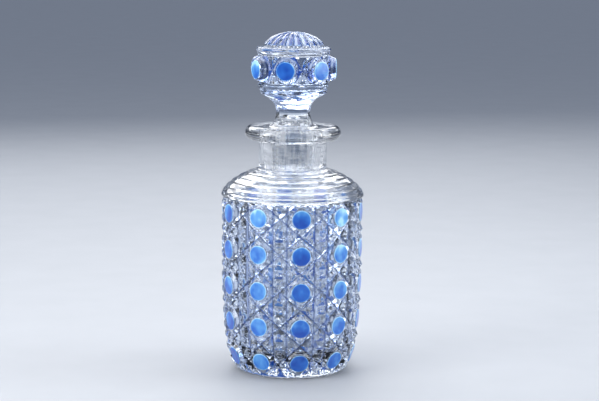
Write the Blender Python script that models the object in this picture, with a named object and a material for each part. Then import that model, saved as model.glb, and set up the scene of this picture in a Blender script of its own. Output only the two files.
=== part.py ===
"""A stoppered toilet-water bottle of pressed and cut crystal, with blue glass discs set into its faces.

Run with: blender --background --python part.py

The frame is metres, +Z up, with the origin at the centre of the foot. A column of discs faces -Y.
The bottle stands on its foot ring. The stopper's ground plug seats in the neck and lifts straight out.
"""

import math

import bmesh
import bpy
from mathutils import Matrix, Vector

MM = 0.001

# ---- Driving dimensions ---------------------------------------------------------------------------
ROUND_STEPS = 50  # facets round the bottle
GAP = 0.3 * MM  # left between pieces that touch on the real object

# Bottle wall, from the foot up to the shoulder
BODY_RADIUS = 37.9 * MM
BODY_HEIGHT = 93.8 * MM  # top of the cut wall, where the shoulder starts
TAPER = 4.0 * MM  # how far the wall draws in, from TAPER_HEIGHT down to the foot
TAPER_HEIGHT = 60.0 * MM
HEEL_WIDTH = 6.7 * MM  # the rounded corner at the foot is a quarter ellipse
HEEL_HEIGHT = 20.0 * MM
WALL = 5.6 * MM
FLOOR = 9.0 * MM  # glass under the cavity
CAVITY_CORNER = 9.0 * MM
FOOT_INNER_RADIUS = 19.0 * MM
FOOT_RECESS = 1.2 * MM  # the middle of the foot is hollowed, so the bottle stands on a ring

# Shoulder: rounded rings that climb from the wall to the neck
SHOULDER_RISE = 13.7 * MM
SHOULDER_RINGS = 7
SHOULDER_FLATNESS = 4 / 3  # 1 makes the rings climb along a quarter ellipse, 2 along a straight cone
RING_STEP = 0.7 * MM  # height of the upright edge of each ring
SHOULDER_THICKNESS = 6.0 * MM

# Neck and lip
NECK_RADIUS = 18.0 * MM
NECK_HEIGHT = 15.5 * MM
LIP_RADIUS = 25.3 * MM
LIP_THICKNESS = 7.6 * MM
MOUTH_ROUNDING = 0.8 * MM

# Ground joint: a tapered plug in a bore of the same taper
BORE_TOP_RADIUS = 11.9 * MM
BORE_BOTTOM_RADIUS = 10.5 * MM
PLUG_LENGTH = 24.0 * MM
PLUG_CHAMFER = 0.8 * MM

# Stopper, heights above the lip
WAIST_RADIUS = 9.0 * MM
WAIST_HEIGHT = 6.0 * MM
WAIST_PANELS = 8
PANEL_DEPTH = 0.75 * MM  # how far a panel is cut into the round waist
PANEL_CURVE = 9.0 * MM  # radius of the upright curve of a panel
PANEL_RISE = 1.0 * MM  # how far above the waist a panel is centred
ROLLER_SIDES = 28
CUP_HEIGHT = 16.9 * MM  # where the waist has swept out to the lower ring
LOWER_RING_RADIUS = 17.7 * MM
LOWER_RING_HEIGHT = 3.2 * MM
BEAD_RADIUS = 19.8 * MM  # the two rings that edge the band
LOWER_BEAD_HEIGHT = 3.0 * MM
UPPER_BEAD_HEIGHT = 4.4 * MM
BAND_RADIUS = 18.6 * MM
BAND_HEIGHT = 14.0 * MM
DOME_RADIUS = 15.8 * MM
LEDGE_RISE = 1.1 * MM
DOME_RISE = 6.8 * MM
DOME_RIBS = 21
RIB_DEPTH = 1.0 * MM

# Blue discs
DISC_THICKNESS = 1.0 * MM
DISC_EDGE = 0.25 * MM  # bevel round each disc
DISC_SIDES = 16
BODY_ROWS = 5
BODY_COLUMNS = 10
BODY_DISC_RADIUS = 4.85 * MM
FACET_INSET = 0.85 * MM  # how far the flat facet round a disc, and the disc's face, lie below the round wall
FACET_MARGIN = 2.9 * MM  # the facet reaches this far past the disc, up to the wall's roundness
FACET_SIDES = 8
FIRST_ROW = 9.0 * MM  # height of the lowest discs
ROW_PITCH = 19.15 * MM
STOPPER_DISCS = 7
STOPPER_DISC_RADIUS = 4.85 * MM
STOPPER_DISC_FACE = 22.5 * MM  # from the axis to the face of a stopper disc
STOPPER_TURN = math.radians(-18.5)  # how the stopper stands in the neck
BOSS_TOP = 0.4 * MM  # rim of glass round a stopper disc
BOSS_SPREAD = 3.2 * MM  # how much wider a boss is at its root
BOSS_ROOT = 5.0 * MM  # how far a boss runs in from its top

# ---- Heights that follow --------------------------------------------------------------------------
NECK_FOOT = BODY_HEIGHT + SHOULDER_RISE
LIP_TOP = NECK_FOOT + NECK_HEIGHT + LIP_THICKNESS
PLUG_END = LIP_TOP - PLUG_LENGTH
CUP_TOP = LIP_TOP + CUP_HEIGHT
LOWER_BEAD = CUP_TOP + LOWER_RING_HEIGHT
BAND_FOOT = LOWER_BEAD + LOWER_BEAD_HEIGHT
BAND_TOP = BAND_FOOT + BAND_HEIGHT
LEDGE = BAND_TOP + UPPER_BEAD_HEIGHT
DOME_FOOT = LEDGE + LEDGE_RISE
BAND_MIDDLE = (BAND_FOOT + BAND_TOP) / 2
UPRIGHT = Vector((0, 0, 1))


# ---- Helpers --------------------------------------------------------------------------------------
def clear_scene():
    for obj in list(bpy.data.objects):
        bpy.data.objects.remove(obj)


def glass(name, colour, roughness):
    material = bpy.data.materials.new(name)
    material.use_nodes = True
    shader = material.node_tree.nodes["Principled BSDF"]
    shader.inputs["Base Color"].default_value = (*colour, 1)
    shader.inputs["Roughness"].default_value = roughness
    shader.inputs["Metallic"].default_value = 0
    shader.inputs["IOR"].default_value = 1.54
    return material


def add_object(name, bm, material=None):
    mesh = bpy.data.meshes.new(name)
    bm.to_mesh(mesh)
    bm.free()
    obj = bpy.data.objects.new(name, mesh)
    bpy.context.scene.collection.objects.link(obj)
    if material:
        mesh.materials.append(material)
    return obj


def turned(name, outline, material, steps=ROUND_STEPS):
    """A closed turned solid. The outline is (radius, height) points from the axis round to the axis."""
    bm = bmesh.new()
    points = [bm.verts.new((radius, 0, height)) for radius, height in outline]
    edges = [bm.edges.new(pair) for pair in zip(points, points[1:])]
    bmesh.ops.spin(
        bm, geom=points + edges, cent=(0, 0, 0), axis=UPRIGHT, angle=2 * math.pi, steps=steps, use_merge=True
    )
    bmesh.ops.remove_doubles(bm, verts=bm.verts, dist=0.01 * MM)
    bmesh.ops.recalc_face_normals(bm, faces=bm.faces)
    obj = add_object(name, bm, material)
    obj.data.shade_smooth()
    obj.data.set_sharp_from_angle(angle=math.radians(30))
    return obj


def arc(centre, semi_axes, start, end, steps):
    """Points of an elliptical arc in the (radius, height) plane, with angles in degrees from +radius."""
    found = []
    for step in range(steps + 1):
        angle = math.radians(start + (end - start) * step / steps)
        found.append((centre[0] + semi_axes[0] * math.cos(angle), centre[1] + semi_axes[1] * math.sin(angle)))
    return found


def sweep(start, end, steps, ease):
    """Points from start to end: the radius follows the share of the height to the power ease."""
    found = []
    for step in range(steps + 1):
        share = step / steps
        radius = start[0] + (end[0] - start[0]) * share**ease
        found.append((radius, start[1] + (end[1] - start[1]) * share))
    return found


def wall_radius(height):
    """Radius of the bottle's wall: a gentle taper below TAPER_HEIGHT, and the rounded heel."""
    lean = max(0.0, 1 - height / TAPER_HEIGHT)
    heel = min(1.0, max(0.0, 1 - height / HEEL_HEIGHT))
    return BODY_RADIUS - TAPER * lean**2 - HEEL_WIDTH * (1 - math.sqrt(1 - heel**2))


def wall_lean(height):
    """Angle by which the wall's outward face looks down at that height."""
    near = 0.5 * MM
    return math.atan2(wall_radius(height + near) - wall_radius(height - near), 2 * near)


def cut(obj, cutter, operation):
    """Joins or cuts obj with a helper that isn't part of the object."""
    cutter.hide_render = True
    cutter.display_type = "WIRE"
    modifier = obj.modifiers.new(operation.lower(), "BOOLEAN")
    modifier.operation = operation
    modifier.solver = "EXACT"
    modifier.use_self = True
    modifier.object = cutter


def facing(turn, lean, distance, height):
    """Places a piece whose own +Z is its outward normal: turned from -Y towards +X, looking down by lean."""
    place = Matrix.Rotation(turn, 4, "Z") @ Matrix.Translation((0, -distance, height))
    return place @ Matrix.Rotation(math.pi / 2 + lean, 4, "X")


# ---- Bottle ---------------------------------------------------------------------------------------
def shoulder_outline():
    """Rings that step from the wall's top in to the neck, closer together near the wall."""
    points = []
    for ring in range(SHOULDER_RINGS + 1):
        angle = math.pi / 2 * ring / SHOULDER_RINGS
        radius = NECK_RADIUS + (BODY_RADIUS - NECK_RADIUS) * abs(math.cos(angle)) ** SHOULDER_FLATNESS
        rise = (SHOULDER_RISE - RING_STEP) * math.sin(angle) ** SHOULDER_FLATNESS
        points.append((radius, BODY_HEIGHT + rise))
        points.append((radius, BODY_HEIGHT + rise + RING_STEP))
    return points


def lip_outline():
    """The neck's outside, the rounded lip and the mouth, down the ground bore to the cavity's roof."""
    half = LIP_THICKNESS / 2
    middle = LIP_TOP - half
    edge = arc((LIP_RADIUS - half, middle), (half, half), -80, 80, 7)
    mouth_centre = (BORE_TOP_RADIUS + MOUTH_ROUNDING, LIP_TOP - MOUTH_ROUNDING)
    mouth = arc(mouth_centre, (MOUTH_ROUNDING, MOUTH_ROUNDING), 90, 180, 2)
    under = [(NECK_RADIUS, NECK_FOOT + NECK_HEIGHT - MOUTH_ROUNDING)]
    return under + edge + mouth + [(BORE_BOTTOM_RADIUS, PLUG_END)]


def cavity_outline():
    """The inside of the bottle, from the bore's lower end round to the axis."""
    roof_foot = BODY_HEIGHT - SHOULDER_THICKNESS
    reach = BODY_RADIUS - WALL - BORE_BOTTOM_RADIUS
    roof_curve = arc((BORE_BOTTOM_RADIUS, roof_foot), (reach, SHOULDER_RISE), 90, 0, 5)
    heights = [TAPER_HEIGHT, TAPER_HEIGHT * 0.6, FLOOR + CAVITY_CORNER]
    sides = [(wall_radius(height) - WALL, height) for height in heights]
    corner_radius = sides[-1][0] - CAVITY_CORNER
    corner = arc((corner_radius, FLOOR + CAVITY_CORNER), (CAVITY_CORNER,) * 2, 0, -90, 3)
    return roof_curve + sides + corner[1:] + [(0, FLOOR)]


def wall_outline():
    """The outside of the bottle from the middle of the foot to the top of the wall."""
    foot = [(0, FOOT_RECESS), (FOOT_INNER_RADIUS - FOOT_RECESS, FOOT_RECESS), (FOOT_INNER_RADIUS, 0)]
    heel = [HEEL_HEIGHT * (step / 6) ** 2 for step in range(7)]
    straight = [TAPER_HEIGHT * 0.6, TAPER_HEIGHT]
    return foot + [(wall_radius(height), height) for height in heel + straight]


def row_height(row):
    return FIRST_ROW + ROW_PITCH * row


def disc_places():
    """The frame of each body disc's face, row by row from the bottom."""
    for row in range(BODY_ROWS):
        height = row_height(row)
        lean = wall_lean(height)
        for column in range(BODY_COLUMNS):
            turn = 2 * math.pi * column / BODY_COLUMNS
            face = facing(turn, lean, wall_radius(height) - FACET_INSET, height)
            yield row, column, face


def cylinder(bm, sides, radius, depth, place, top_radius=None):
    """A prism or frustum with its top at place, running depth inwards from it."""
    bmesh.ops.create_cone(
        bm,
        cap_ends=True,
        segments=sides,
        radius1=radius,
        radius2=top_radius or radius,
        depth=depth,
        matrix=place @ Matrix.Translation((0, 0, -depth / 2)),
    )


def make_bottle(material):
    outline = wall_outline() + shoulder_outline() + lip_outline() + cavity_outline()
    bottle = turned("crystal_bottle", outline, material)
    facets = bmesh.new()
    pockets = bmesh.new()
    clear = 4 * MM  # how far a cutter stands outside the wall
    level = Matrix.Rotation(math.pi / FACET_SIDES, 4, "Z")  # turns a facet so that it has a level top edge
    for _, _, face in disc_places():
        outside = face @ Matrix.Translation((0, 0, clear))
        facet_radius = (BODY_DISC_RADIUS + FACET_MARGIN) / math.cos(math.pi / FACET_SIDES)
        cylinder(facets, FACET_SIDES, facet_radius, clear, outside @ level)
        cylinder(pockets, DISC_SIDES, BODY_DISC_RADIUS + GAP, DISC_THICKNESS + GAP + clear, outside)
    cut(bottle, add_object("disc_facets", facets), "DIFFERENCE")
    cut(bottle, add_object("disc_pockets", pockets), "DIFFERENCE")
    return bottle


# ---- Stopper --------------------------------------------------------------------------------------
def plug_radius(height):
    """The plug follows the bore, with the gap that touching pieces keep."""
    share = (height - PLUG_END) / (LIP_TOP - PLUG_END)
    return BORE_BOTTOM_RADIUS + (BORE_TOP_RADIUS - BORE_BOTTOM_RADIUS) * share - GAP


def bead(foot, radius, height):
    """A rounded ring round the stopper, standing on foot."""
    inset = height / 4
    lower = [(radius - inset, foot), (radius, foot + inset)]
    return lower + [(radius, foot + height - inset), (radius - inset, foot + height)]


def stopper_outline():
    seat = LIP_TOP
    plug = [
        (0, PLUG_END),
        (plug_radius(PLUG_END) - PLUG_CHAMFER, PLUG_END),
        (plug_radius(PLUG_END), PLUG_END + PLUG_CHAMFER),
        (plug_radius(seat), seat),
    ]
    flare = sweep((plug_radius(seat), seat), (WAIST_RADIUS, LIP_TOP + WAIST_HEIGHT), 4, 0.5)[1:]
    cup = sweep((WAIST_RADIUS, LIP_TOP + WAIST_HEIGHT), (LOWER_RING_RADIUS - 1 * MM, CUP_TOP), 6, 2.4)[1:]
    rings = [(LOWER_RING_RADIUS, CUP_TOP + 0.6 * MM), (LOWER_RING_RADIUS, LOWER_BEAD)]
    band = [(BAND_RADIUS, BAND_FOOT + 0.5 * MM), (BAND_RADIUS, BAND_TOP - 0.5 * MM)]
    dome = arc((0, DOME_FOOT), (DOME_RADIUS, DOME_RISE), 0, 90, 6)
    dome[-1] = (0, DOME_FOOT + DOME_RISE)
    ledge = [(DOME_RADIUS, LEDGE)]
    lower = bead(LOWER_BEAD, BEAD_RADIUS, LOWER_BEAD_HEIGHT)
    upper = bead(BAND_TOP, BEAD_RADIUS, UPPER_BEAD_HEIGHT)
    return plug + flare + cup + rings + lower + band + upper + ledge + dome


def stopper_face(index):
    turn = STOPPER_TURN + 2 * math.pi * index / STOPPER_DISCS
    return facing(turn, 0, STOPPER_DISC_FACE, BAND_MIDDLE)


def cut_ribs(stopper):
    """Draws in every other upright line of the dome, which leaves a rib between each two valleys."""
    centre = Vector((0, 0, DOME_FOOT))
    for vert in stopper.data.vertices:
        step = round(math.atan2(vert.co.y, vert.co.x) * DOME_RIBS / math.pi)
        if step % 2 and vert.co.z > DOME_FOOT - LEDGE_RISE / 2:
            vert.co = centre + (vert.co - centre) * (1 - RIB_DEPTH / DOME_RADIUS)


def boss_cutter():
    """A frustum behind each stopper disc, wide enough at its root to run into the band."""
    bosses = bmesh.new()
    top = STOPPER_DISC_RADIUS + BOSS_TOP
    for index in range(STOPPER_DISCS):
        place = stopper_face(index) @ Matrix.Translation((0, 0, -DISC_THICKNESS - GAP))
        cylinder(bosses, DISC_SIDES, top + BOSS_SPREAD, BOSS_ROOT, place, top)
    return add_object("stopper_bosses", bosses)


def panel_cutter():
    """Rollers lying against the waist: each cuts a panel that is flat across and hollow upright."""
    rollers = bmesh.new()
    for index in range(WAIST_PANELS):
        turn = 2 * math.pi * (index + 0.5) / WAIST_PANELS
        distance = WAIST_RADIUS - PANEL_DEPTH + PANEL_CURVE
        centre = facing(turn, 0, distance, LIP_TOP + WAIST_HEIGHT + PANEL_RISE)
        along = centre @ Matrix.Rotation(math.pi / 2, 4, "Y") @ Matrix.Translation((0, 0, WAIST_RADIUS / 2))
        cylinder(rollers, ROLLER_SIDES, PANEL_CURVE, WAIST_RADIUS, along)
    return add_object("waist_rollers", rollers)


def make_stopper(material):
    """One piece of crystal: plug, waist, ringed band with a boss behind each disc, and dome."""
    stopper = turned("crystal_stopper", stopper_outline(), material, 2 * DOME_RIBS)
    cut_ribs(stopper)
    cut(stopper, boss_cutter(), "UNION")
    cut(stopper, panel_cutter(), "DIFFERENCE")
    return stopper


# ---- Blue discs -----------------------------------------------------------------------------------
def set_disc(name, radius, material, place):
    """A round plate with its face at place, looking along its +Z, and its face's edge bevelled."""
    side = [(radius - DISC_EDGE, 0), (radius, -DISC_EDGE), (radius, -DISC_THICKNESS)]
    outline = [(0, 0)] + side + [(0, -DISC_THICKNESS)]
    disc = turned(name, outline, material, DISC_SIDES)
    disc.matrix_world = place


def make_discs(material):
    for row, column, face in disc_places():
        set_disc(f"body_disc_row{row + 1}_col{column + 1:02d}", BODY_DISC_RADIUS, material, face)
    for index in range(STOPPER_DISCS):
        set_disc(f"stopper_disc_{index + 1}", STOPPER_DISC_RADIUS, material, stopper_face(index))


def main():
    clear_scene()
    crystal = glass("clear_crystal", (0.93, 0.95, 0.98), 0.03)
    blue = glass("blue_glass", (0.06, 0.22, 0.72), 0.12)
    make_bottle(crystal)
    make_stopper(crystal)
    make_discs(blue)


main()
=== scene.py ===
# %% [markdown]
# # A stoppered bottle in cut crystal with blue discs
#
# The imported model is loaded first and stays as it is. It says where every piece belongs and which of the
# two bodies, the bottle or the stopper, the piece moves with. Everything after that is looks: two skins of
# cut crystal, two sets of blue discs, and the finishes that make them glass.

import math

import bpy
import numpy as np
from mathutils import Matrix, Vector


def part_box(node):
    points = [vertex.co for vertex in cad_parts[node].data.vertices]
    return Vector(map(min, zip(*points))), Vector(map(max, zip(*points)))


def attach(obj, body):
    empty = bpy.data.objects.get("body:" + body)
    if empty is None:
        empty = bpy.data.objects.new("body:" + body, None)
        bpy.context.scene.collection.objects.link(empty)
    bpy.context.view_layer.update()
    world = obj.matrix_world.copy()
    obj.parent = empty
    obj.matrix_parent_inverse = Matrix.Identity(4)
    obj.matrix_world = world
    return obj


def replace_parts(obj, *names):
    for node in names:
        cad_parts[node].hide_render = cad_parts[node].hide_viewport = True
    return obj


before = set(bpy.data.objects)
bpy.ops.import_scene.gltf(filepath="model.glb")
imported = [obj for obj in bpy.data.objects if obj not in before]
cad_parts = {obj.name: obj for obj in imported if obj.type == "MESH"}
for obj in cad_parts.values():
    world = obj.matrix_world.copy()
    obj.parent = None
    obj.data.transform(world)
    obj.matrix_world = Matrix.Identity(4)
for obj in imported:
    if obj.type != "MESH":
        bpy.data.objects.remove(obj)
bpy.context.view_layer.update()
MM = 0.001

# %% [markdown]
# The sizes of the looks come from the frame wherever it can be asked. The bottle's box gives the wall's
# radius and the lip's height, and each disc's flat face gives a point and a direction to build its setting
# around. Measuring the discs is safer than repeating their sizes here, because the cuts then always meet
# them.

# %% Sizes read from the frame
bottle_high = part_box("crystal_bottle")[1]
stopper_low, stopper_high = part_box("crystal_stopper")
WALL_RADIUS = bottle_high.x
LIP_TOP = bottle_high.z
PLUG_END = stopper_low.z
STOPPER_TOP = stopper_high.z
print(f"wall {WALL_RADIUS / MM:.1f} mm, lip {LIP_TOP / MM:.1f} mm, whole {STOPPER_TOP / MM:.1f} mm")


def disc_face(node):
    """The centre of a disc's front face and the outward direction square to it.

    The two round faces are its largest ones, so the direction is the main axis of its area-weighted normals.
    """
    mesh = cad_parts[node].data
    corners = np.array([vert.co for vert in mesh.vertices])
    normals = np.array([face.normal for face in mesh.polygons])
    areas = np.array([face.area for face in mesh.polygons])
    middle = (corners.max(0) + corners.min(0)) / 2
    normal = np.linalg.eigh(normals.T @ (normals * areas[:, None]))[1][:, -1]
    normal *= np.sign(normal[:2] @ middle[:2])
    return middle + normal * ((corners - middle) @ normal).max(), normal


body_nodes = sorted(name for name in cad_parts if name.startswith("body_disc"))
stopper_nodes = sorted(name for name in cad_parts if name.startswith("stopper_disc"))
body_faces = [disc_face(name) for name in body_nodes]
stopper_faces = [disc_face(name) for name in stopper_nodes]
ROWS = len({name.split("_")[2] for name in body_nodes})
COLUMNS = len(body_nodes) // ROWS
row_faces = body_faces[::COLUMNS]
row_heights = np.array([centre[2] for centre, _ in row_faces])
ROW_PITCH = float(np.diff(row_heights).mean())
print(f"{ROWS} rows of {COLUMNS}, pitch {ROW_PITCH / MM:.2f} mm, {len(stopper_nodes)} on the stopper")

# %% [markdown]
# Every new piece is a surface worked out as whole arrays. A turned piece is a table of points with one row
# for each step along its outline and one column for each step round it. These helpers turn such a table
# into triangles and hand them to Blender in one go. A Screw modifier could turn an outline too, but it
# couldn't carry the cuts, whose radius changes from column to column.

# %% From arrays to a mesh
def ring_points(radius, height, turn):
    """Points at a radius and a height, turned from -Y towards +X."""
    radius, height, turn = np.broadcast_arrays(radius, height, turn)
    return np.stack([radius * np.sin(turn), -radius * np.cos(turn), height], -1)


def square_sides(rows, columns):
    """The lower left and lower right point of each square between rows of points that close on themselves."""
    first = rows[:, None] * columns
    return first + np.arange(columns), first + (np.arange(columns) + 1) % columns


def strip_triangles(first, rows, columns):
    """Two triangles for each square of a table that closes on itself sideways."""
    low, right = square_sides(np.arange(rows - 1), columns)
    low, right = low + first, right + first
    lower = np.stack([low, right, right + columns], -1)
    upper = np.stack([low, right + columns, low + columns], -1)
    return np.concatenate([lower.reshape(-1, 3), upper.reshape(-1, 3)])


def fan_triangles(centre, ring, turned=False):
    """Triangles from one centre point to each side of a closed ring of points."""
    ring = np.asarray(ring)
    after = np.roll(ring, -1)
    middle = np.full_like(ring, centre)
    return np.stack([middle, after, ring] if turned else [middle, ring, after], -1)


def add_mesh(name, points, triangles, smooth, slots=None, sharp=None):
    """A mesh object from an array of points and an array of triangles.

    smooth is one truth value, or one for each triangle. slots gives each triangle's material. Edges that bend
    by more than sharp degrees stay crisp.
    """
    mesh = bpy.data.meshes.new(name)
    mesh.vertices.add(len(points))
    mesh.vertices.foreach_set("co", np.asarray(points, np.float32).ravel())
    mesh.loops.add(len(triangles) * 3)
    mesh.loops.foreach_set("vertex_index", np.asarray(triangles, np.int32).ravel())
    mesh.polygons.add(len(triangles))
    mesh.polygons.foreach_set("loop_start", np.arange(0, len(triangles) * 3, 3, dtype=np.int32))
    mesh.polygons.foreach_set("use_smooth", np.zeros(len(triangles), bool) | smooth)
    if slots is not None:
        mesh.polygons.foreach_set("material_index", np.asarray(slots, np.int32))
    mesh.update(calc_edges=True)
    mesh.validate()
    if sharp:
        mesh.set_sharp_from_angle(angle=math.radians(sharp))
    piece = bpy.data.objects.new(name, mesh)
    bpy.context.scene.collection.objects.link(piece)
    print(f"{name}: {len(points)} points, {len(triangles)} triangles")
    return piece


def store(piece, label, values):
    """Keep one number for each point of a piece, for its material to read."""
    attribute = piece.data.attributes.new(label, "FLOAT", "POINT")
    attribute.data.foreach_set("value", np.asarray(values, np.float32))


def outline_arc(centre, semi_axes, start, end, steps):
    """Points of an ellipse's arc in the (radius, height) plane. Angles are degrees from straight outwards."""
    angle = np.radians(np.linspace(start, end, steps + 1))
    return np.stack([np.cos(angle), np.sin(angle)], -1) * semi_axes + centre


# %% [markdown]
# The wall is round with a slight taper towards the foot and a rounded heel. The cutter's wheels then ran
# over it in four directions: upright, level and both ways aslant. In each cell the grooves leave an
# eight-sided block, whose flat top carries a disc. Between the blocks, long facets rise from each groove,
# and small points stand where the upright and the level bands cross. All creases lie on the lines of one
# grid of twelve steps from the middle of a cell to its edge, so a mesh on that grid shows every edge
# crisply. A sculpted or displaced surface would need far more triangles and still be soft, and cutting each
# groove with a Boolean would take hundreds of cuts.

# %% The wall and its cuts
WALL_TOP = 93.8 * MM
TAPER, TAPER_HEIGHT = 4.0 * MM, 60.0 * MM
HEEL_WIDTH, HEEL_HEIGHT = 6.7 * MM, 20.0 * MM
STEPS = 12
TABLE = (6, 7, 9)  # grid lines of the edge of a block's flat top: sideways, upwards, aslant
BLOCK = (8, 9, 12)  # grid lines of the grooves round the block, in the same order
GROOVES = np.array([2.8, 1.6, 2.6]) * MM  # how deep upright, level and slanting grooves go into the wall
FLANK = 3  # a facet rises from its groove over this many grid steps
BAND = 0.3 * MM  # depth of the tips of the small points
POINTS = 0.3 * MM  # depth of the cuts between the points, below their tips
SEAT = 0.40 * MM  # the glass under a disc lies this far below the disc's face
FIRST_CUT = 1.2 * MM  # height where the cuts start
FADE_IN, FADE_OUT = 5.0 * MM, 1.2 * MM  # heights over which they grow there and end at the wall's top
LINES = (1.0, 0.5, 1.0)  # how strongly the wheel's grain and the painted shade show in the three kinds of groove
FACET_GRAIN_AND_SHADE, POINT_GRAIN_AND_SHADE = 0.15, 0.2  # the grain and painted blue shade on all facets, and what the cuts between points add


def wall_radius(height):
    """The wall's radius less a square-law taper near the foot, less a quarter ellipse at the heel."""
    lean = np.clip(1 - height / TAPER_HEIGHT, 0, None)
    heel = np.clip(1 - height / HEEL_HEIGHT, 0, 1)
    return WALL_RADIUS - TAPER * lean**2 - HEEL_WIDTH * (1 - np.sqrt(1 - heel**2))


def off_line(value, period):
    """Distance from a value to the nearest whole multiple of a period."""
    return np.abs((value + period / 2) % period - period / 2)


def cut_wall(across, up, row, height):
    """Radius of the cut wall, and its grain and painted shade, at grid steps (across, up) from the middle of
    a cell.

    Inside a block the surface falls from the flat of the disc to the bottom of the groove round it, by the
    lowest of three straight ramps. Outside, it is the lower of a field of small points and the far flanks of
    the grooves. The cuts fade out towards the foot and the wall's top edge. The grain is strongest in the
    bottom of a groove and falls to a trace on the facets. The same number paints the glass a darker blue:
    painted shade in the grooves, and a painted reflection of the discs on the facets.
    """
    side, rise = np.broadcast_arrays(np.abs(across), np.abs(up))
    slant = side + rise
    ways = np.stack([side, rise, slant])
    low, high, deep, line = (np.reshape(values, (3, 1, 1)) for values in (TABLE, BLOCK, GROOVES, LINES))
    centre, normal = row_faces[row]
    flat = np.hypot(normal[0], normal[1])
    reach = centre @ normal - SEAT
    turn = across / STEPS * math.pi / COLUMNS
    table = (reach - normal[2] * height) / (flat * np.cos(turn))
    uncut = wall_radius(height)
    fade = np.clip((height - FIRST_CUT) / FADE_IN, 0, 1) * np.clip((WALL_TOP - height) / FADE_OUT, 0, 1)
    ramps = np.clip((ways - low) / (high - low), 0, 1)
    block = (table + (uncut - deep * fade - table) * ramps).min(0)
    crossing = (side > BLOCK[0]) & (rise > BLOCK[1])
    small = crossing * (1 - np.minimum(off_line(slant, 2), off_line(side - rise, 2)))
    flanks = np.clip(1 - np.abs(ways - high) / FLANK, 0, 1)
    band = uncut - (BAND + np.maximum(POINTS * small, ((deep - BAND) * flanks).max(0))) * fade
    inside = ramps.max(0) < 1
    lines = (np.clip(1 - np.abs(ways - high), 0, 1) * line).max(0)
    # painted shade: this number also darkens the glass to blue along the grooves and tints every facet blue
    grain_and_shade = np.maximum(lines, np.where(inside, FACET_GRAIN_AND_SHADE, FACET_GRAIN_AND_SHADE + small * POINT_GRAIN_AND_SHADE))
    return np.where(inside, block, band), grain_and_shade * fade


# %% [markdown]
# The cut wall becomes two tables: the corners of the grid's squares, and a point in the middle of each
# square. With a point in the middle, a square can fold along either diagonal, so both slanting grooves come
# out as sharp as the upright ones. A grid without those points would saw through one of the two.

# %% The wall's tables
def wall_table(shift):
    """Rows of points up the wall, on the grid's corners (shift 0) or in its squares' middles (shift 0.5)."""
    tables, grains_and_shades = [], []
    for row, middle in enumerate(row_heights):
        first = 2 if row == 0 else 0
        last = 2 * STEPS + (1 if row == ROWS - 1 and not shift else 0)
        up = np.arange(first, last)[:, None] - STEPS + shift
        height = np.minimum(middle + up * ROW_PITCH / (2 * STEPS), WALL_TOP)
        column = np.arange(2 * STEPS * COLUMNS)[None, :] + shift
        across = (column + STEPS) % (2 * STEPS) - STEPS
        radius, grain_and_shade = cut_wall(across, up, row, height)
        tables.append(ring_points(radius, height, column * math.pi / (STEPS * COLUMNS)))
        grains_and_shades.append(grain_and_shade)
    return np.concatenate(tables), np.concatenate(grains_and_shades)


wall_corners, corner_grain_and_shade = wall_table(0)
wall_middles, middle_grain_and_shade = wall_table(0.5)
print("wall table", wall_corners.shape, "middles", wall_middles.shape)

# %% [markdown]
# The rest of the bottle is turned. Above the wall comes the shoulder, which the cutter ringed with seven
# steps, then the neck and the lip with its full, rounded edge. Each is a short outline of arcs and straight
# runs, because a lathe-like shape is told completely by half its section.

# %% The shoulder and the lip
SHOULDER_RISE, SHOULDER_RINGS, RING_STEP = 13.7 * MM, 7, 0.7 * MM
SHOULDER_CURVE = 4 / 3  # 1 would be a quarter ellipse and 2 a straight slope
RING_RUN = np.array([0, 0.04, 0.14, 0.4, 0.7, 0.92, 1.0])  # shares of a ring's tread, from its edge inwards
RING_LIFT = np.array([0.0, 0.55, 0.85, 1.0, 1.0, 1.0, 1.0])  # shares of the upright step at those places
NECK_RADIUS = 18.0 * MM
LIP_RADIUS, LIP_HALF = 25.3 * MM, 3.7 * MM
NECK_FILLET, LIP_FILLET = 1.2 * MM, 1.6 * MM
MOUTH_ROUNDING = 0.9 * MM
BORE_TOP, BORE_BOTTOM = 11.9 * MM, 10.5 * MM


def shoulder_outline():
    """Seven rings along a flattened quarter ellipse: each is an upright step, a rounded edge and a tread."""
    edge = np.arange(SHOULDER_RINGS + 1) * math.pi / 2 / SHOULDER_RINGS
    radius = NECK_RADIUS + (WALL_RADIUS - NECK_RADIUS) * np.abs(np.cos(edge)) ** SHOULDER_CURVE
    height = WALL_TOP + (SHOULDER_RISE - RING_STEP) * np.sin(edge) ** SHOULDER_CURVE
    run = (radius[:-1] - radius[1:])[:, None]
    climb = (height[1:] - height[:-1] - RING_STEP)[:, None]
    radii = radius[:-1, None] - run * RING_RUN
    heights = height[:-1, None] + RING_STEP * RING_LIFT + climb * RING_RUN
    return np.stack([radii, heights], -1).reshape(-1, 2)


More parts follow.
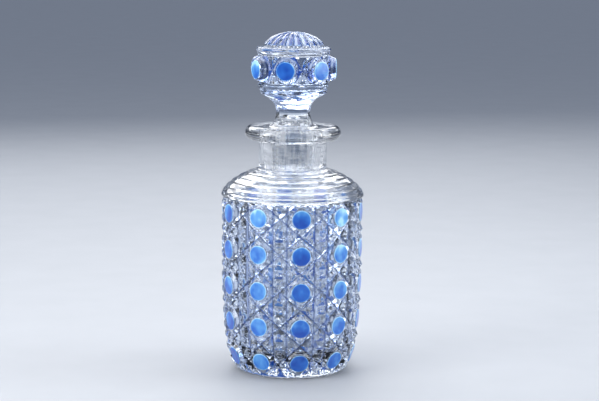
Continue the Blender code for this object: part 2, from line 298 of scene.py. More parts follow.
def lip_outline():
    """Up the neck, round the lip's full edge, over its slightly dished top and down into the mouth."""
    foot_height, neck_top = WALL_TOP + SHOULDER_RISE, LIP_TOP - 2 * LIP_HALF
    foot_centre = (NECK_RADIUS + NECK_FILLET, foot_height + NECK_FILLET)
    fillet = outline_arc(foot_centre, (NECK_FILLET, NECK_FILLET), -90, -180, 5)
    heights = np.linspace(foot_height + 2 * MM, neck_top - 2.2 * MM, 6)
    neck = np.stack([np.full(6, NECK_RADIUS), heights], -1)
    under = outline_arc((NECK_RADIUS + LIP_FILLET, neck_top - 1.2 * MM), (LIP_FILLET, 1.2 * MM), 180, 90, 5)
    edge = outline_arc((LIP_RADIUS - LIP_HALF, LIP_TOP - LIP_HALF), (LIP_HALF, LIP_HALF), -85, 80, 18)
    dish = np.array([[19.0, -0.25], [16.5, -0.45], [14.5, -0.45], [13.4, -0.2]]) * MM + [0, LIP_TOP]
    mouth_centre = (BORE_TOP + MOUTH_ROUNDING, LIP_TOP - MOUTH_ROUNDING)
    mouth = outline_arc(mouth_centre, (MOUTH_ROUNDING, MOUTH_ROUNDING), 80, 180, 6)
    return np.concatenate([fillet, neck, under, edge, dish, mouth])


above = np.concatenate([shoulder_outline(), lip_outline()])
print("rows above the wall:", len(above))

# %% [markdown]
# Inside, the mouth narrows into the bore that is ground to fit the stopper's plug, and opens below it into
# the hollow that holds the scent. The foot is a ring round a shallow hollow, so that the bottle stands on
# its rim. One closed skin carries inside and outside alike, because light has to meet glass only where
# there is glass: a separate inner skin, or a doubled wall, would bend it twice.

# %% The hollow and the foot
WALL, FLOOR, CORNER = 5.6 * MM, 9.0 * MM, 9.0 * MM
FOOT_HOLLOW = 1.2 * MM
HEEL_EDGE = np.array([0, 0.25, 0.7]) * MM  # heights of the rows that round the heel's first turn


def inside_outline():
    """Down the tapered ground bore, out under the shoulder, down the wall and in over the rounded floor."""
    bore = np.linspace([BORE_TOP, LIP_TOP - 1.6 * MM], [BORE_BOTTOM, PLUG_END], 9)
    reach = WALL_RADIUS - WALL - BORE_BOTTOM
    roof_foot = WALL_TOP - 6.0 * MM
    roof = outline_arc((BORE_BOTTOM, roof_foot), (reach, SHOULDER_RISE), 90, 0, 14)
    heights = np.linspace(roof_foot - 4 * MM, FLOOR + CORNER, 12)
    sides = np.stack([wall_radius(heights) - WALL, heights], -1)
    corner = outline_arc((sides[-1, 0] - CORNER, FLOOR + CORNER), (CORNER, CORNER), 0, -90, 10)[1:]
    floor = np.linspace(corner[-1], [1.5 * MM, FLOOR], 5)[1:]
    return bore, np.concatenate([roof, sides, corner, floor])


ring = [[1.5, 1.2], [9.0, 1.2], [16.5, 1.15], [18.2, 0.8], [19.0, 0.15], [19.6, 0.0], [23.0, 0.0]]
foot = np.concatenate([np.array(ring) * MM, np.stack([wall_radius(HEEL_EDGE), HEEL_EDGE], -1)])
bore, hollow = inside_outline()
print("outline rows:", len(foot), len(above), len(bore), len(hollow))

# %% [markdown]
# The table's rows are joined from the foot's middle to the hollow's floor. The squares of the cut wall get
# their middle point and four flat triangles each, and every other square is halved and smooth. Three
# finishes share the skin: clear crystal, the ground bore, and the hollow, which no wheel ever polished. The
# wheel's grain is stored on the points, for the finish to follow. The same number also sets a painted blue
# shade in the cuts.

# %% The bottle
CLEAR, GROUND, INNER = 0, 1, 2


def cut_facets(first, last, columns, first_middle):
    """Four triangles for each square of the rows of the cut wall, from its sides to its middle point."""
    low, right = (side.ravel() for side in square_sides(np.arange(first, last - 1), columns))
    middle = first_middle + np.arange(len(low))
    above_low, above_right = low + columns, right + columns
    sides = [(low, right), (right, above_right), (above_right, above_low), (above_low, low)]
    return np.concatenate([np.stack([start, end, middle], -1) for start, end in sides])


def make_bottle():
    """One closed skin: the foot, the cut wall, the shoulder, neck and lip, the bore and the hollow."""
    columns = 2 * STEPS * COLUMNS
    turns = np.arange(columns) * 2 * math.pi / columns
    lower = ring_points(foot[:, :1], foot[:, 1:], turns[None, :])
    upper_outline = np.concatenate([above, bore, hollow])
    upper = ring_points(upper_outline[:, :1], upper_outline[:, 1:], turns[None, :])
    table = np.concatenate([lower, wall_corners, upper])
    rows, first = len(table), len(foot)
    last = first + len(wall_corners)
    first_middle = rows * columns
    foot_pole, floor_pole = first_middle + (last - first - 1) * columns + np.arange(2)

    halved = strip_triangles(0, rows, columns)
    row_of = halved.min(1) // columns
    plain = (row_of < first) | (row_of >= last - 1)
    facets = cut_facets(first, last, columns, first_middle)
    bottom = fan_triangles(foot_pole, np.arange(columns))[:, ::-1]
    floor = fan_triangles(floor_pole, (rows - 1) * columns + np.arange(columns), turned=True)[:, ::-1]
    poles = [[0, 0, FOOT_HOLLOW], [0, 0, FLOOR]]
    points = np.concatenate([table.reshape(-1, 3), wall_middles.reshape(-1, 3), poles])
    triangles = np.concatenate([halved[plain], facets, bottom, floor])

    smooth = np.ones(len(triangles), bool)
    smooth[plain.sum() : plain.sum() + len(facets)] = False
    bore_first = last + len(above) - 1
    bore_last = bore_first + len(bore)
    slot_of = np.where(row_of < bore_first, CLEAR, np.where(row_of < bore_last, GROUND, INNER))
    slots = np.full(len(triangles), CLEAR)
    slots[: plain.sum()] = slot_of[plain]
    slots[-columns:] = INNER
    piece = add_mesh("cut_crystal_bottle", points, triangles, smooth, slots, sharp=28)

    grain_and_shade = np.zeros(len(points))
    grain_and_shade[first * columns : last * columns] = corner_grain_and_shade.ravel()
    grain_and_shade[first_middle:foot_pole] = middle_grain_and_shade.ravel()
    store(piece, "wheel_grain", grain_and_shade)
    return piece


bottle = make_bottle()

# %% [markdown]
# The stopper is one piece of crystal as well: a ground plug, a waist cut into eight panels, a cup, a band
# between two beads with a round boss under each disc, and a ribbed dome. Its skin is again one table, with
# 504 steps round, because that divides by the eight panels, the seven bosses and the twenty-one ribs, so
# each of them repeats exactly.

# %% Sizes of the stopper
AROUND = 504
CLEARANCE = 0.3 * MM
PLUG_TOP_RADIUS, PLUG_END_RADIUS = BORE_TOP - CLEARANCE, BORE_BOTTOM - CLEARANCE
PLUG_CHAMFER = 0.8 * MM
WAIST_RADIUS, WAIST_HEIGHT = 9.0 * MM, LIP_TOP + 6.0 * MM
PANELS, PANEL_DEPTH, PANEL_CURVE = 8, 0.75 * MM, 9.0 * MM
CUP_RADIUS, CUP_TOP = 16.7 * MM, LIP_TOP + 16.9 * MM
LOWER_RING = 17.7 * MM
BEAD, LOWER_BEAD, BAND_FOOT = 19.8 * MM, CUP_TOP + 3.2 * MM, CUP_TOP + 6.2 * MM
BAND_RADIUS, BAND_TOP = 18.6 * MM, BAND_FOOT + 14.0 * MM
LEDGE = BAND_TOP + 4.4 * MM
DOME_RADIUS, DOME_FOOT = 15.8 * MM, LEDGE + 1.1 * MM
DOME_CURVE = 1.4  # 1 would be an ellipse, and more lets the sides slope in sooner
RIBS, RIB_DEPTH, RIB_WIDTH, ROOF = 21, 1.3 * MM, 0.3, 0.5 * MM
BOSSES = len(stopper_faces)
SEVENTH = 2 * math.pi / BOSSES
boss_centre, boss_normal = stopper_faces[0]
BOSS_TURN = math.atan2(boss_normal[0], -boss_normal[1])
BOSS_FACE = float(np.hypot(*boss_centre[:2])) - SEAT
BAND_MIDDLE = float(boss_centre[2])
BOSS_EDGE, BOSS_ROOT = 5.4 * MM, 7.0 * MM
BAND_SWELL = 0.3 * MM  # the band's facets stand this far out of it
CROSS_DEPTH, CROSS_SLOPE, CROSS_LEAN = 0.8 * MM, 0.45, 1.7  # its crossed cuts: depth, flanks and lean
print(f"boss face {BOSS_FACE / MM:.2f} mm out and {BAND_MIDDLE / MM:.2f} mm up")
print(f"first boss turned {math.degrees(BOSS_TURN):.1f} degrees")

# %% [markdown]
# The stopper's outline is drawn like the bottle's, from the plug's end up to the band and from the band to
# the top of the dome. Above the plug it draws in to the waist, and the cup swells out of the waist, each by
# a power of the height. That gives the long easy curves of hot-worked glass with one number each, where a
# drawn curve would need several handles.

# %% The stopper's outline
def swept(start, end, steps, ease):
    """Points whose radius follows the share of the height to a power."""
    share = np.linspace(0, 1, steps + 1)
    radius = start[0] + (end[0] - start[0]) * share**ease
    return np.stack([radius, start[1] + (end[1] - start[1]) * share], -1)


def rounded_ring(foot, top, radius, inner, corner):
    """A ring with an upright side and two rounded corners, coming out of an inner radius and back to it."""
    low = outline_arc((radius - corner, foot + corner), (corner, corner), -90, 0, 5)
    high = outline_arc((radius - corner, top - corner), (corner, corner), 0, 90, 5)
    return np.concatenate([[[inner, foot]], low, high, [[inner, top]]])


def stopper_outlines():
    """Three outlines: the plug, the waist and cup up to the band, and all that stands above the band."""
    end = [[2 * MM, PLUG_END], [PLUG_END_RADIUS - PLUG_CHAMFER, PLUG_END]]
    taper = np.linspace([PLUG_END_RADIUS, PLUG_END + PLUG_CHAMFER], [PLUG_TOP_RADIUS, LIP_TOP - 1 * MM], 9)
    plug = np.concatenate([end, taper])
    flare = swept((PLUG_TOP_RADIUS, LIP_TOP), (WAIST_RADIUS, WAIST_HEIGHT), 10, 0.5)
    cup = swept((WAIST_RADIUS, WAIST_HEIGHT), (CUP_RADIUS, CUP_TOP), 26, 2.4)[1:]
    lower = rounded_ring(CUP_TOP + 0.1 * MM, LOWER_BEAD - 0.3 * MM, LOWER_RING, 16.9 * MM, 0.6 * MM)
    bead = rounded_ring(LOWER_BEAD, BAND_FOOT - 0.3 * MM, BEAD, 18.2 * MM, 0.8 * MM)
    cove = np.array([[18.2, 0.3], [18.9, 0.45], [19.1, 0.9], [19.0, 1.5], [18.6, 1.9]]) * MM + [0, BAND_TOP]
    rim = rounded_ring(BAND_TOP + 2.0 * MM, LEDGE, BEAD, 18.6 * MM, 0.9 * MM)[:-1]
    rim[7:, 0] -= 0.3 * MM
    ledge = np.array([[16.6 * MM, LEDGE], [DOME_RADIUS, LEDGE + 0.2 * MM]])
    angle = np.radians(np.linspace(0, 88, 23))
    heights = DOME_FOOT + np.sin(angle) ** DOME_CURVE * (STOPPER_TOP - DOME_FOOT)
    dome = np.stack([np.cos(angle) * DOME_RADIUS, heights], -1)
    return plug, np.concatenate([flare, cup, lower, bead]), np.concatenate([cove, rim, ledge, dome])


print("stopper outline rows:", [len(part) for part in stopper_outlines()])


# %% [markdown]
# Three cuts change the turned shape. A broad wheel cut the waist into eight panels, a fine wheel cut the
# dome into ribs with low roofs, and the band was cut back between the bosses and crossed. Each cut is a
# function with one formula, so its depth and width can change without touching the outline.

# %% Panels, ribs and bosses
def panelled(radius, height, turn):
    """The waist cut by eight rollers: each panel is flat across and its depth follows a circle upright."""
    off = (turn % (2 * math.pi / PANELS)) - math.pi / PANELS
    rise = np.clip(np.abs(height - WAIST_HEIGHT - 1.0 * MM) / PANEL_CURVE, 0, 1)
    flat = WAIST_RADIUS - PANEL_DEPTH + PANEL_CURVE * (1 - np.sqrt(1 - rise**2))
    return np.where(height > LIP_TOP, np.minimum(radius, flat / np.cos(off)), radius)


def from_valley(points):
    """0 in the middle of one of the dome's twenty-one grooves and 1 half way to the next."""
    turn = np.arctan2(points[..., 0], -points[..., 1])
    return np.abs((turn * RIBS / (2 * math.pi)) % 1 - 0.5) * 2


def ribbed(points):
    """The dome pulled in towards its centre along twenty-one narrow grooves with low roofs between them."""
    valley = from_valley(points)
    depth = RIB_DEPTH * np.clip(1 - valley / RIB_WIDTH, 0, 1) + ROOF * (1 - valley)
    keep = 1 - depth / DOME_RADIUS
    centre = np.array([0, 0, DOME_FOOT])
    on_dome = points[..., 2:] > DOME_FOOT - 0.5 * MM
    return np.where(on_dome, centre + (points - centre) * keep[..., None], points)


def on_band(off, rise):
    """Distances on the band from a boss's middle, and from the cross half way to the next boss."""
    spread = np.hypot(BOSS_FACE * np.tan(off), rise)
    side = (SEVENTH / 2 - np.abs(off)) * BAND_RADIUS
    return spread, np.abs(np.abs(rise) - side * CROSS_LEAN) / 2


def band_radius(off, height):
    """The band at an angle from a boss's middle: the outer of a flat-topped cone and the cut band.

    The crossed cuts lie half way between two bosses. Each facet rises from the cross at a steady slope.
    """
    spread, cross = on_band(off, height - BAND_MIDDLE)
    slope = (BOSS_FACE - BAND_RADIUS) / (BOSS_ROOT - BOSS_EDGE)
    boss = (BOSS_FACE - np.clip(spread - BOSS_EDGE, 0, None) * slope) / np.cos(off)
    band = BAND_RADIUS - np.clip(CROSS_DEPTH - cross * CROSS_SLOPE, 0, None) + BAND_SWELL
    return np.maximum(boss, band)


band_cross, band_boss = band_radius(SEVENTH / 2, BAND_MIDDLE), band_radius(0.0, BAND_MIDDLE)
print(f"the band is {band_cross / MM:.2f} mm out at a cross and {band_boss / MM:.2f} mm at a boss")


# %% [markdown]
# The round bosses would look ragged on a square grid, so each seventh of the band is a patch of rings that
# start as circles on the boss and end on the patch's four straight sides. The rings are worked out in two
# parameters, the turn and the height, and only then put on the surface. The sides are points that a patch
# shares with the rows above and below and with the next patch, so no seam is left open.

# %% The band's seven patches
CIRCLES = np.array([2.6, 4.4, 5.1, 5.4, 5.5, 5.9, 6.5, 6.9, 7.0]) * MM  # radii of the round rings of a patch
SLIDES = np.linspace(0, 1, 9)[1:-1, None]  # how far each later ring has slid from the last circle outwards


def patch_sides(rows_of):
    """Once round a patch: turns from the boss's middle, heights, and the column and row of each point."""
    count, width = len(rows_of), AROUND // BOSSES
    across, up = np.arange(width + 1), np.arange(count)
    upright, level = np.ones(count - 1, int), np.ones(width, int)
    column = np.concatenate([across[:-1], upright * width, across[:0:-1], upright * 0])
    row = np.concatenate([level * 0, up[:-1], level * (count - 1), up[:0:-1]])
    return (column / width - 0.5) * SEVENTH, np.linspace(BAND_FOOT, BAND_TOP, count)[row], column, row


def band_patches(rows_of, first_index):
    """Ring points of all patches and their triangles. rows_of holds the point numbers of the band's rows."""
    side_off, side_height, column, row = patch_sides(rows_of)
    angle = np.arctan2(side_height - BAND_MIDDLE, BOSS_FACE * np.tan(side_off))
    circle_off = np.arctan(CIRCLES[:, None] * np.cos(angle) / BOSS_FACE)
    circle_height = BAND_MIDDLE + CIRCLES[:, None] * np.sin(angle)
    last_off, last_height = circle_off[-1], circle_height[-1]
    off = np.concatenate([circle_off, last_off + (side_off - last_off) * SLIDES])
    height = np.concatenate([circle_height, last_height + (side_height - last_height) * SLIDES])
    radius = band_radius(off, height)
    points, triangles = [], []
    for boss in range(BOSSES):
        turn = BOSS_TURN + boss * SEVENTH
        start = first_index + boss * (1 + off.size)
        points.append(ring_points(BOSS_FACE, BAND_MIDDLE, turn)[None])
        points.append(ring_points(radius, height, turn + off).reshape(-1, 3))
        numbers = start + 1 + np.arange(off.size).reshape(off.shape)
        sides = rows_of[row, (column + boss * AROUND // BOSSES) % AROUND]
        chain = np.concatenate([numbers, sides[None]])
        low, high = chain[:-1], chain[1:]
        low_next, high_next = np.roll(low, -1, 1), np.roll(high, -1, 1)
        triangles.append(fan_triangles(start, numbers[0]))
        triangles.append(np.stack([low, high, high_next], -1).reshape(-1, 3))
        triangles.append(np.stack([low, high_next, low_next], -1).reshape(-1, 3))
    return np.concatenate(points), np.concatenate(triangles)


print("rings of a patch:", len(CIRCLES) + len(SLIDES))

# %% [markdown]
# The wheel left its grain in the dome's grooves, in two rings round each boss and in the crosses, and the
# same number paints those lines darker than the polished glass, as painted shade. A fainter painted shade
# lies all over the cup, the band and the dome. The grain and shade are stored as one number for each point,
# as on the bottle, because a texture in space could not follow the cuts this closely.

# %% The grain and painted shade on the stopper's head
BAND_GRAIN_AND_SHADE, DOME_GRAIN_AND_SHADE, CUP_GRAIN_AND_SHADE = 0.4, 0.45, 0.3
LINE_RINGS = ((5.9 * MM, 0.45 * MM), (BOSS_ROOT, 0.5 * MM))  # radius and half width of each ring of grain and painted shade
CROSS_HALF = 0.5 * MM


def head_grain_and_shade(points):
    """The grain and painted shade on the stopper's head: 1 in the dome's grooves, round the bosses and in the
    crosses.
    """
    height = points[:, 2]
    turn = np.arctan2(points[:, 0], -points[:, 1])
    off = (turn - BOSS_TURN + SEVENTH / 2) % SEVENTH - SEVENTH / 2
    spread, cross = on_band(off, height - BAND_MIDDLE)
    rings = sum(np.clip(1.2 - np.abs(spread - at) / half, 0, 1) for at, half in LINE_RINGS)
    crosses = np.clip(1 - cross / CROSS_HALF, 0, 1) * (spread > BOSS_ROOT)
    band = (height > BAND_FOOT) & (height < BAND_TOP)
    cup = (height > WAIST_HEIGHT) & (height < BAND_FOOT)
    dome = height > DOME_FOOT
    grooves = np.clip(1.7 - from_valley(points) / 0.2, 0, 1) * dome
    # painted shade: a fainter darkening over the band, the dome and the cup
    shade = BAND_GRAIN_AND_SHADE * band + DOME_GRAIN_AND_SHADE * dome + CUP_GRAIN_AND_SHADE * cup
    return np.maximum.reduce([shade, grooves, band * rings, band * crosses])


# %% [markdown]
# Plug, waist and cup come first in the stopper's table, then the band's rows, whose outer points are the
# sides of the patches, and then the rim and the dome. Points that no triangle uses are dropped at the end.

# %% The stopper
BAND_ROWS = 25


def make_stopper():
    """One closed skin: the plug, waist and cup, the band's seven patches, the rim and the ribbed dome."""
    plug, below, above_band = stopper_outlines()
    lower = np.concatenate([plug, below])
    turns = BOSS_TURN - SEVENTH / 2 + np.arange(AROUND) * 2 * math.pi / AROUND
    off = (np.arange(AROUND) % (AROUND // BOSSES)) / (AROUND // BOSSES) * SEVENTH - SEVENTH / 2
    heights = np.linspace(BAND_FOOT, BAND_TOP, BAND_ROWS)[:, None]
    low = ring_points(panelled(lower[:, :1], lower[:, 1:], turns[None, :]), lower[:, 1:], turns[None, :])
    band = ring_points(band_radius(off[None, :], heights), heights, turns[None, :])
    high = ribbed(ring_points(above_band[:, :1], above_band[:, 1:], turns[None, :]))
    table = np.concatenate([low, band, high]).reshape(-1, 3)
    first_band, first_high = len(low) * AROUND, (len(low) + BAND_ROWS) * AROUND

    rows_of = first_band + np.arange(BAND_ROWS * AROUND).reshape(BAND_ROWS, AROUND)
    patch_points, patch_triangles = band_patches(rows_of, len(table) + 2)
    poles = np.array([[0, 0, PLUG_END], [0, 0, STOPPER_TOP - 0.3 * MM]])
    points = np.concatenate([table, poles, patch_points])
    lower_part = strip_triangles(0, len(low) + 1, AROUND)
    upper_part = strip_triangles(first_high - AROUND, len(high) + 1, AROUND)
    base = fan_triangles(len(table), np.arange(AROUND), turned=True)
    crown = fan_triangles(len(table) + 1, first_high + (len(high) - 1) * AROUND + np.arange(AROUND))
    triangles = np.concatenate([lower_part, upper_part, base, crown, patch_triangles])

    used, inverse = np.unique(triangles, return_inverse=True)
    slots = np.full(len(triangles), CLEAR)
    slots[: len(lower_part)][lower_part.min(1) // AROUND < len(plug) - 1] = GROUND
    piece = add_mesh("cut_crystal_stopper", points[used], inverse.reshape(-1, 3), True, slots, sharp=22)
    store(piece, "wheel_grain", head_grain_and_shade(points[used]))
    return piece


stopper = make_stopper()

# %% [markdown]
# A disc is a thin round plate of milky blue glass with a softly rounded edge and a face that swells by a
# few hundredths of a millimetre. All discs of a body make one mesh, because they share one finish and never
# move against each other. Three values are stored on their points for the colours: how high a point lies on
# its disc, how far it lies from the disc's middle, and one number for the melt and painted light. Melts never
# match exactly, so the number varies a little by chance, and on the stopper by chance alone. On the bottle it
# also alternates from column to column and grows paler from row to row, which is painted light: discs made
# lighter or darker as the light falls on them.

# %% The blue discs
DISC_RADIUS, DISC_SWELL, DISC_EDGE, DISC_STEPS = 4.85 * MM, 0.05 * MM, 0.16 * MM, 48


def disc_outline(radius):
    """From near the middle of the face, over the rounded edge, to near the middle of the back."""
    thick = SEAT - 0.04 * MM
    inner = np.linspace(0.25, 0.9, 4) * radius
    face = np.stack([inner, DISC_SWELL * (1 - (inner / radius) ** 2)], -1)
    edge = outline_arc((radius - DISC_EDGE, -DISC_EDGE), (DISC_EDGE, DISC_EDGE), 90, -60, 6)
    back = np.array([[radius - 0.2 * MM, -thick], [radius * 0.5, -thick]])
    return np.concatenate([face, edge, back]), thick


def one_disc(radius):
    """Points and triangles of a disc that lies on its back, and its front's middle at the origin."""
    outline, thick = disc_outline(radius)
    angle = np.arange(DISC_STEPS) * 2 * math.pi / DISC_STEPS
    rim, depth = outline[:, :1], outline[:, 1:]
    rims = np.stack(np.broadcast_arrays(rim * np.cos(angle), rim * np.sin(angle), depth), -1)
    points = np.concatenate([rims.reshape(-1, 3), [[0, 0, DISC_SWELL], [0, 0, -thick]]])
    rows = strip_triangles(0, len(outline), DISC_STEPS)[:, ::-1]
    front = fan_triangles(len(points) - 2, np.arange(DISC_STEPS))
    last_row = (len(outline) - 1) * DISC_STEPS + np.arange(DISC_STEPS)
    return points, np.concatenate([rows, front, fan_triangles(len(points) - 1, last_row, turned=True)])


def make_discs(name, faces, radius, melts_and_light):
    """One disc on each face, stood up so that its own upward direction leans as little as possible."""
    local, triangles = one_disc(radius)
    centres, normals = (np.array(values) for values in zip(*faces))
    up = np.array([0, 0, 1]) - normals[:, 2:] * normals
    up /= np.linalg.norm(up, axis=1, keepdims=True)
    axes = (np.cross(up, normals), up, normals)
    stood = sum(local[None, :, k : k + 1] * axis[:, None] for k, axis in enumerate(axes))
    points = (centres[:, None] + stood).reshape(-1, 3)
    shift = np.arange(len(faces))[:, None, None] * len(local)
    discs = add_mesh(name, points, (triangles[None] + shift).reshape(-1, 3), True, sharp=50)
    store(discs, "height_on_disc", np.tile(local[:, 1] / radius, len(faces)))
    store(discs, "rim", np.tile(np.hypot(local[:, 0], local[:, 1]) / radius, len(faces)))
    store(discs, "melt", np.repeat(melts_and_light, len(local)))
    return discs


rows_of_discs, columns_of_discs = np.divmod(np.arange(len(body_faces)), COLUMNS)
by_chance = np.random.default_rng(4).random(len(body_faces))
# painted light: alternate columns and higher rows of discs are made paler as the light falls on them; only
# the chance share is the melt
body_melts_and_light = 0.45 * (columns_of_discs % 2) + 0.35 * rows_of_discs / (ROWS - 1) + 0.2 * by_chance
stopper_melts = np.random.default_rng(484).random(len(stopper_faces))
body_discs = make_discs("blue_discs_bottle", body_faces, DISC_RADIUS, body_melts_and_light)
stopper_discs = make_discs("blue_discs_stopper", stopper_faces, DISC_RADIUS, stopper_melts)

# %% [markdown]
# Shader maths reads best as formulas. This class wraps a socket, so that `a * 2 + b` adds the Math nodes by
# itself, and `node` adds any other kind of node. Numbers that are the same all over a surface stay on the
# shader's own sockets.

# %% A small language for materials
class Value:
    """A number or colour that varies over a surface, as the output socket of some node."""

    def __init__(self, tree, socket):
        self.tree, self.socket = tree, socket

    def math(self, operation, *others):
        """A Math node with this value first."""
        values = dict(enumerate((self, *others)))
        return self.tree.node("ShaderNodeMath", {"operation": operation}, values)

    def __add__(self, other):
        return self.math("ADD", other)

    def __mul__(self, other):
        return self.math("MULTIPLY", other)

    def __sub__(self, other):
        return self.math("SUBTRACT", other)

    def __rsub__(self, other):
        return (self * -1) + other

    __radd__, __rmul__ = __add__, __mul__

    def clamped(self, low=0, high=1):
        """The value kept between two limits."""
        return self.math("MAXIMUM", low).math("MINIMUM", high)


class Finish:
    """A material with one Principled shader. Settings go on its sockets, and varying values are linked."""

    def __init__(self, name, **constants):
        self.material = bpy.data.materials.new(name)
        self.material.use_nodes = True
        self.nodes = self.material.node_tree.nodes
        self.links = self.material.node_tree.links
        self.shader = next(node for node in self.nodes if node.type == "BSDF_PRINCIPLED")
        for label, value in constants.items():
            self.shader.inputs[label.replace("_", " ")].default_value = value

    def node(self, kind, settings=None, inputs=None, output=0):
        """Any node: its settings, a ramp's stops among them, then the values or links of its sockets."""
        made = self.nodes.new(kind)
        for key, value in (settings or {}).items():
            if key == "stops":
                while len(made.color_ramp.elements) < len(value):
                    made.color_ramp.elements.new(0.5)
                for element, (place, colour) in zip(made.color_ramp.elements, value):
                    element.position, element.color = place, (*colour, 1)
            else:
                setattr(made, key, value)
        for key, value in (inputs or {}).items():
            if isinstance(value, Value):
                self.links.new(value.socket, made.inputs[key])
            else:
                made.inputs[key].default_value = value
        return Value(self, made.outputs[output])

    def feed(self, label, value):
        """Link a varying value to one of the shader's sockets."""
        self.links.new(value.socket, self.shader.inputs[label])

    def stored(self, label):
        """The number that a piece keeps on its points under a name."""
        return self.node("ShaderNodeAttribute", {"attribute_name": label}, output="Fac")

    def noise(self, scale, detail=3, stretch=(1, 1, 1)):
        """Smooth random clouds in the piece's own space, about one over the scale in metres across."""
        place = self.node("ShaderNodeTexCoord", output="Object")
        point = self.node("ShaderNodeMapping", inputs={"Vector": place, "Scale": stretch})
        return self.node("ShaderNodeTexNoise", inputs={"Vector": point, "Scale": scale, "Detail": detail})

    def ramp(self, value, *stops):
        """A colour that follows a value from stop to stop, each a place and a colour."""
        return self.node("ShaderNodeValToRGB", {"stops": stops}, {"Fac": value})

    def bump(self, height, strength, distance):
        """Small unevenness that shows only in how the surface catches the light."""
        inputs = {"Height": height, "Strength": strength, "Distance": distance}
        self.feed("Normal", self.node("ShaderNodeBump", inputs=inputs))


# %% [markdown]
# Cut crystal is almost colourless, bends light strongly and is fire-polished, so it is nearly a perfect
# mirror where it reflects. What keeps it from looking computed is small: the pressing leaves slow waves a
# few millimetres across, and handling leaves faint dull patches. Where the wheel's grain is stored, the
# glass goes a little matt, and it is also painted a darker blue: painted shade in the cuts, and on the
# facets a painted reflection of the blue of the discs around them.

# %% Clear crystal
CRYSTAL_IOR = 1.54


def clear_crystal():
    """Polished glass, with a painted blue shade and a bloom that follow the wheel's grain into the cuts."""
    finish = Finish("clear_crystal", IOR=CRYSTAL_IOR, Transmission_Weight=1.0)
    grain_and_shade = finish.stored("wheel_grain")
    line = grain_and_shade * grain_and_shade * grain_and_shade
    polished, facet = (0.0, (0.97, 0.985, 1.0)), (0.15, (0.79, 0.875, 1.0))
    flank, groove = (0.5, (0.60, 0.73, 0.99)), (1.0, (0.03, 0.08, 0.36))
    # painted shade: the grain turns the glass from clear to dark blue, for dark lines in the cuts and the
    # discs' reflected blue
    finish.feed("Base Color", finish.ramp(grain_and_shade, polished, facet, flank, groove))
    handling = finish.noise(90, 4)
    finish.feed("Roughness", (handling - 0.45).clamped() * 0.12 + line * 0.18 + 0.006)
    finish.bump(finish.noise(140, 1), strength=0.05, distance=0.0002)
    return finish.material


# %% [markdown]
# The hollow was shaped against a mould and never polished, so its skin is very slightly rough and blurs
# what is seen through it. The bore and the plug were ground against each other with wet grit. That left
# them matt, with fine streaks along the turn and across it, which is why a ground joint looks like woven
# silk.

# %% The hollow's skin and the ground joint
def inner_crystal():
    """Glass with a faintly uneven, unpolished skin."""
    tint = (0.95, 0.97, 1.0, 1)
    finish = Finish("inner_crystal", IOR=CRYSTAL_IOR, Transmission_Weight=1.0, Base_Color=tint)
    finish.feed("Roughness", finish.noise(40, 3) * 0.10 + 0.06)
    return finish.material


def ground_crystal():
    """Ground glass: upright streaks and level rings, woven together, drive its tint, roughness and bump."""
    finish = Finish("ground_crystal", IOR=CRYSTAL_IOR, Transmission_Weight=0.95)
    streaks = finish.noise(650, 2, stretch=(1, 1, 0.1))
    rings = finish.noise(900, 2, stretch=(0.15, 0.15, 1))
    weave = streaks * 0.6 + rings * 0.4
    matt, bright = (0.38, (0.42, 0.48, 0.58)), (0.52, (1.0, 1.0, 1.0))
    finish.feed("Base Color", finish.ramp(weave, matt, bright))
    finish.feed("Roughness", (weave * 0.9 - 0.22).clamped(0.05, 0.5))
    finish.bump(weave, strength=0.9, distance=0.0004)
    return finish.material


# %% [markdown]
# The blue is a milky glass with faint clouds and a satin skin. Its colour is deep in the middle, painted
# paler towards the top of each disc as painted light, where light gathers behind it, and pale at its rim
# as a painted highlight. Light scattered inside it comes back out everywhere, which a little emission in
# the same colour stands in for, as a painted glow. Real subsurface scattering could do it too, but it takes
# more samples to come out smooth.

# %% Blue glass
def blue_glass():
    """Milky glass whose tone follows the melt and painted light, clouds, a satin grain, painted light by
    height on the disc and a painted rim highlight, and which also gives a painted glow.
    """
    # painted glow: the emission makes the discs give light of their own
    coat_and_glow = {"Coat_Weight": 0.25, "Coat_Roughness": 0.08, "Emission_Strength": 0.24}
    finish = Finish("blue_glass", IOR=1.5, Transmission_Weight=0.25, **coat_and_glow)
    height, melt, rim = (finish.stored(label) for label in ("height_on_disc", "melt", "rim"))
    clouds = finish.noise(120, 2)
    satin = finish.noise(420, 4, stretch=(1, 1, 0.3))
    # painted highlight: a pale ring at each disc's rim
    painted_rim_highlight = (rim - 0.9).clamped() * 7
    # painted light: the height on the disc makes the top of each disc paler, and the melt number adds lighter
    # and darker columns and rows
    tone = (height * 0.18 + melt * 0.65 + clouds * 1.7 + satin * 0.4 + painted_rim_highlight - 0.98).clamped()
    deep, blue = (0.0, (0.008, 0.08, 0.44)), (0.4, (0.025, 0.17, 0.60))
    azure, pale = (0.8, (0.13, 0.41, 0.76)), (1.0, (0.45, 0.75, 0.95))
    colour = finish.ramp(tone, deep, blue, azure, pale)
    finish.feed("Base Color", colour)
    finish.feed("Emission Color", colour)
    finish.feed("Roughness", clouds * 0.16 + 0.14)
    return finish.material


crystal, ground, inner, blue = clear_crystal(), ground_crystal(), inner_crystal(), blue_glass()
for piece in (bottle, stopper):
    piece.data.materials.append(crystal)
    piece.data.materials.append(ground)
bottle.data.materials.append(inner)
for piece in (body_discs, stopper_discs):
    piece.data.materials.append(blue)
print("finishes:", crystal.name, ground.name, inner.name, blue.name)

# %% [markdown]
# Each piece moves with its CAD body and stands for the solids it replaces. The discs of the stopper ride
# with the stopper, so nothing is left behind when it is lifted out.

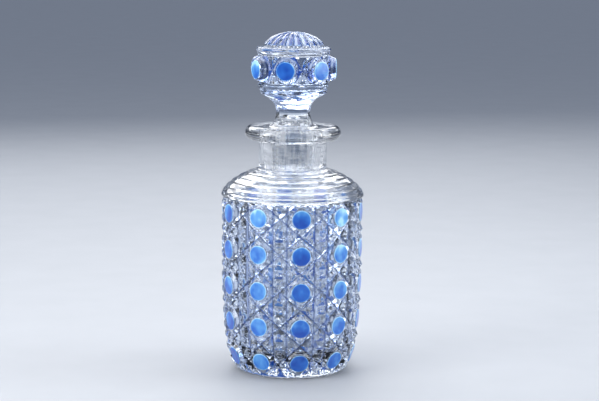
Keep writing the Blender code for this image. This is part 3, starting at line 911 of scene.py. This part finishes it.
# %% Riding and replacing
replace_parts(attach(bottle, "bottle"), "crystal_bottle")
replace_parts(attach(body_discs, "bottle"), *body_nodes)
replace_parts(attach(stopper, "stopper"), "crystal_stopper")
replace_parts(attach(stopper_discs, "stopper"), *stopper_nodes)
print("riding on the bottle:", bottle.name, body_discs.name)
print("riding on the stopper:", stopper.name, stopper_discs.name)

# %% [markdown]
# The floor is plain and pale, and reaches so far that its end is never seen. Glass shows what stands round
# it, so large soft lights give it its white flashes, and a surround that is dim near the horizon gives it
# its dark lines. At the horizon itself the surround has the far floor's own tone, so that no edge shows
# behind the bottle.

# %% Floor, lights and surround
def make_floor():
    """A plain pale plane with a trace of mottling."""
    bpy.ops.mesh.primitive_plane_add(size=60)
    floor = bpy.context.object
    floor.name = "floor"
    finish = Finish("pale_floor", Roughness=0.6)
    darker, lighter = (0.3, (0.35, 0.36, 0.375)), (0.7, (0.365, 0.375, 0.39))
    finish.feed("Base Color", finish.ramp(finish.noise(30, 4), darker, lighter))
    floor.data.materials.append(finish.material)
    return floor


def soft_light(name, place, aim, size, power, colour=(1, 1, 1)):
    """A rectangular area light at a place, turned towards a point."""
    light = bpy.data.lights.new(name, "AREA")
    light.shape, light.size, light.size_y = "RECTANGLE", size[0], size[1]
    light.energy, light.color = power, colour
    lamp = bpy.data.objects.new(name, light)
    bpy.context.scene.collection.objects.link(lamp)
    lamp.location = place
    lamp.rotation_euler = (Vector(aim) - Vector(place)).to_track_quat("-Z", "Y").to_euler()
    return lamp


def make_surround(*stops):
    """A plain surround whose colour follows the upward part of each direction, from stop to stop."""
    world = bpy.data.worlds.new("surround")
    bpy.context.scene.world = world
    world.use_nodes = True
    nodes, links = world.node_tree.nodes, world.node_tree.links
    background = next(node for node in nodes if node.type == "BACKGROUND")
    direction = nodes.new("ShaderNodeTexCoord")
    parts = nodes.new("ShaderNodeSeparateXYZ")
    ramp = nodes.new("ShaderNodeValToRGB")
    for _ in stops[2:]:
        ramp.color_ramp.elements.new(0.5)
    for element, (place, colour) in zip(ramp.color_ramp.elements, stops):
        element.position, element.color = place, (*colour, 1)
    links.new(direction.outputs["Generated"], parts.inputs[0])
    links.new(parts.outputs["Z"], ramp.inputs[0])
    links.new(ramp.outputs[0], background.inputs["Color"])
    return world


make_floor()
soft_light("left_softbox", (-0.75, -0.35, 0.40), (0, 0, 0.09), (0.5, 0.7), 5.5)
soft_light("right_softbox", (0.80, -0.1, 0.40), (0, 0, 0.09), (0.4, 0.7), 4.5, colour=(0.9, 0.95, 1))
soft_light("top_softbox", (0.0, 0.05, 0.8), (0, 0, 0.1), (1.0, 0.8), 8)
soft_light("rear_softbox", (-0.1, 0.9, 0.62), (0, 0, 0.1), (1.2, 0.45), 6)
make_surround((0, (0.172, 0.202, 0.263)), (0.08, (0.09, 0.11, 0.155)), (0.8, (0.50, 0.57, 0.72)))

# %% [markdown]
# The camera stands about a metre away with a long lens, a little above the bottle, and looks slightly down.
# A long lens keeps the upright lines nearly parallel, as they look to someone who sees the bottle on a
# table.

# %% Camera
DISTANCE, EYE_HEIGHT = 1.0497, 0.2472
AZIMUTH, PITCH = math.radians(-7.7), math.radians(8.5)
YAW, ROLL = math.radians(0.207), math.radians(0.55)

camera_data = bpy.data.cameras.new("camera")
camera_data.lens, camera_data.sensor_width = 120, 36
camera = bpy.data.objects.new("camera", camera_data)
bpy.context.scene.collection.objects.link(camera)
stand = Vector((math.sin(AZIMUTH) * DISTANCE, -math.cos(AZIMUTH) * DISTANCE, EYE_HEIGHT))
turned = Matrix.Rotation(AZIMUTH - YAW, 4, "Z") @ Matrix.Rotation(math.pi / 2 - PITCH, 4, "X")
turned = turned @ Matrix.Rotation(ROLL, 4, "Z")
camera.matrix_world = Matrix.Translation(stand) @ turned
bpy.context.scene.camera = camera
bpy.context.scene.view_settings.view_transform = "Standard"
bpy.context.scene.cycles.transmission_bounces = 16
bpy.context.scene.cycles.max_bounces = 20
print("camera at", tuple(round(value, 3) for value in stand))
